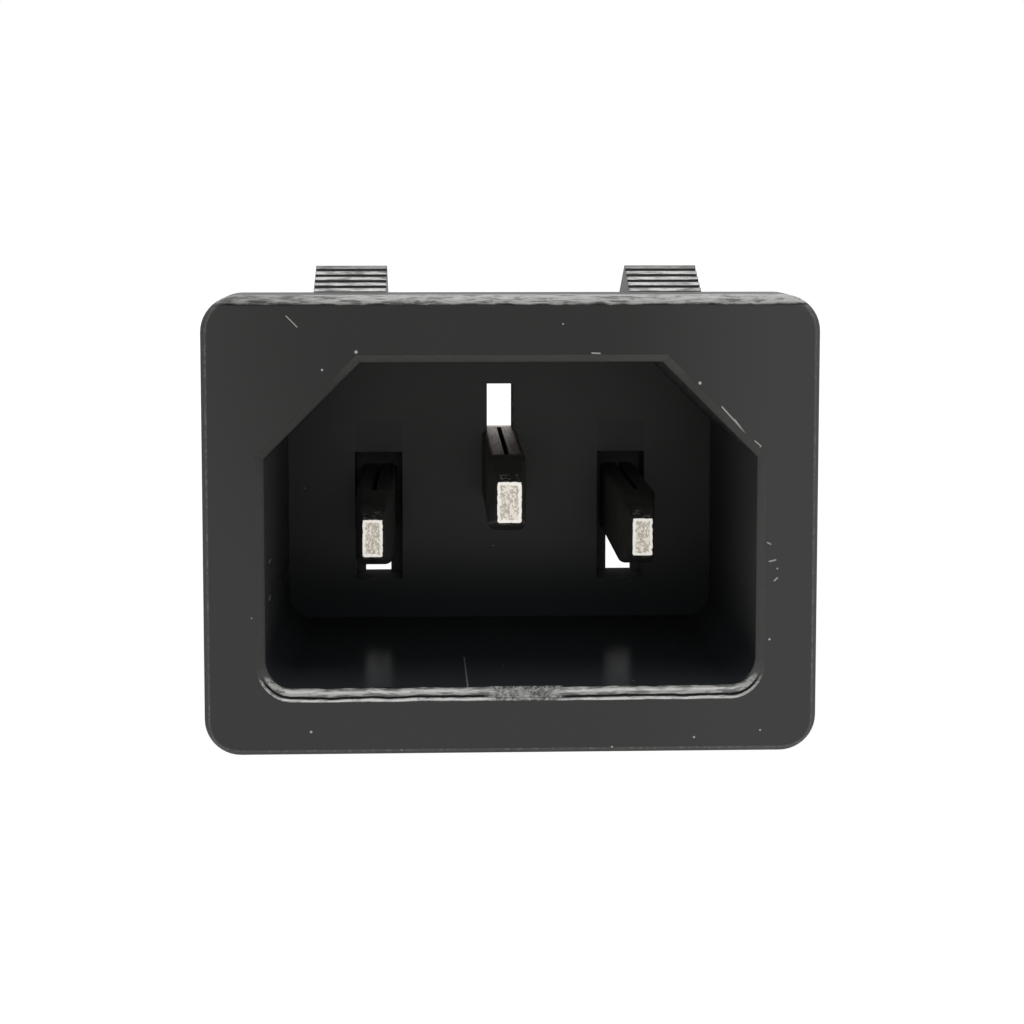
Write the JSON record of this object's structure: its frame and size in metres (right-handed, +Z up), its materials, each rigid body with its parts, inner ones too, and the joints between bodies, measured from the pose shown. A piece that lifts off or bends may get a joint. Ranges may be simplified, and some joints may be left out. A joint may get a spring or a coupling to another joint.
{
  "type": "c14 panel inlet socket",
  "caption": "Snap-in panel power inlet: black moulded housing with a hexagonal recess, ribbed snap wings, and folded contact pins with rear quick-connect tabs.",
  "frame": {"origin": "centre of the panel cut-out, on the panel's front face where the back of the flange lies", "axes": "+X right as seen from the front, +Y into the panel, away from the connector, +Z up, towards the earth pin's side"},
  "size_m": [0.0304, 0.029, 0.0252],
  "materials": {
    "housing": "fine satin moulded black",
    "contacts": "satin nickel plate, rough sheared tips"
  },
  "bodies": {
    "root": {"housing": "housing", "line_contact": "contacts", "neutral_contact": "contacts", "earth_contact": "contacts"}
  },
  "joints": []
}
